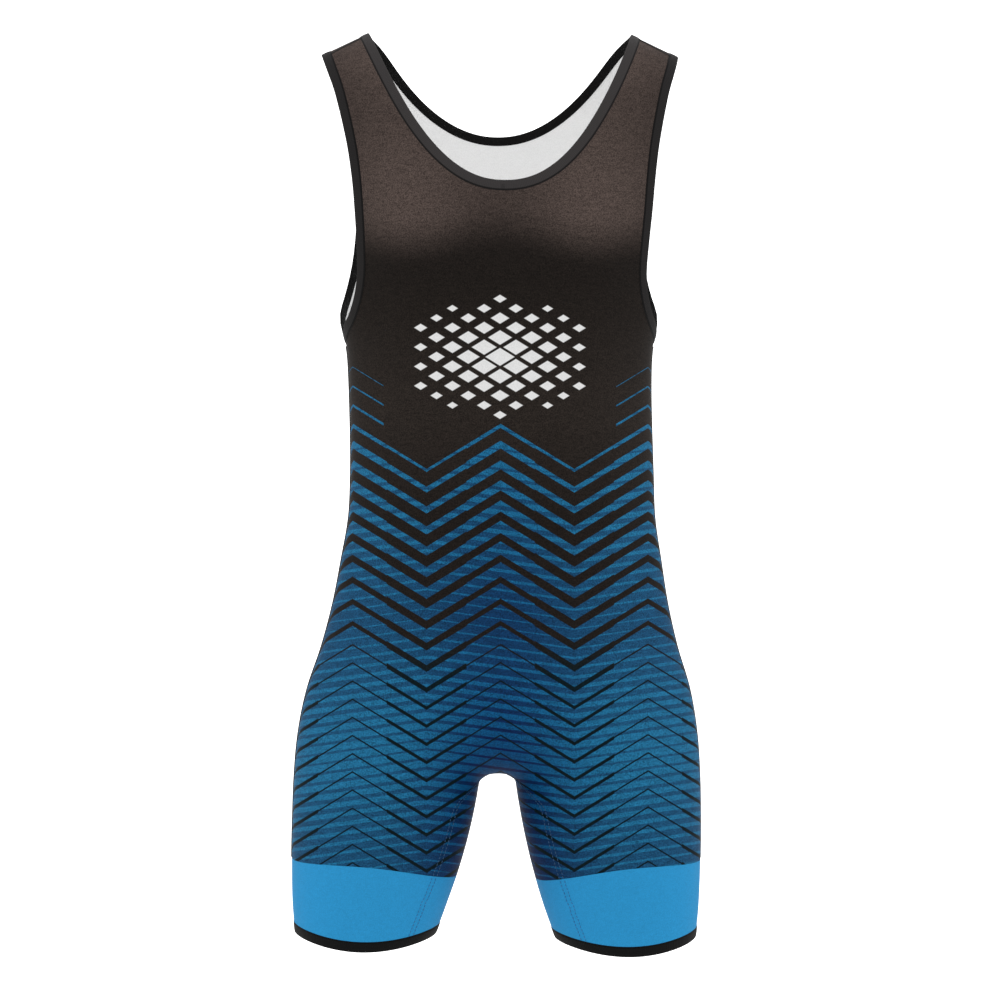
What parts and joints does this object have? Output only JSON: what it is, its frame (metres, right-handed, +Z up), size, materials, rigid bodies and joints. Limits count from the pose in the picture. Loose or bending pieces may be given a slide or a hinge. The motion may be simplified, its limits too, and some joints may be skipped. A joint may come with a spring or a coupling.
{
  "type": "wrestling singlet",
  "caption": "Sleeveless one-piece stretch garment in its worn form, scooped at neck and armholes, with short legs, bound edges and open hollows.",
  "frame": {"origin": "between the two shoulder straps, on the middle plane, a little under the inner top of the straps, where the wearer's shoulders hold the garment up", "axes": "+Z up, the front faces -Y, +X to the wearer's left"},
  "size_m": [0.3814, 0.2077, 0.8506],
  "materials": {
    "printed_knit": "smooth nylon and elastane warp knit, dye-sublimation printed, matt with a faint sheen",
    "band_knit": "smooth nylon and elastane warp knit, light blue",
    "edge_binding": "folded knit binding, charcoal, matt",
    "hem_elastic": "narrow knit-covered elastic, black, matt"
  },
  "bodies": {
    "root": {"front_panel": "printed_knit", "back_panel": "printed_knit", "band_front_left": "band_knit", "band_front_right": "band_knit", "band_back_left": "band_knit", "band_back_right": "band_knit", "neck_binding": "edge_binding", "armhole_binding_left": "edge_binding", "armhole_binding_right": "edge_binding", "hem_binding_left": "hem_elastic", "hem_binding_right": "hem_elastic"}
  },
  "joints": []
}
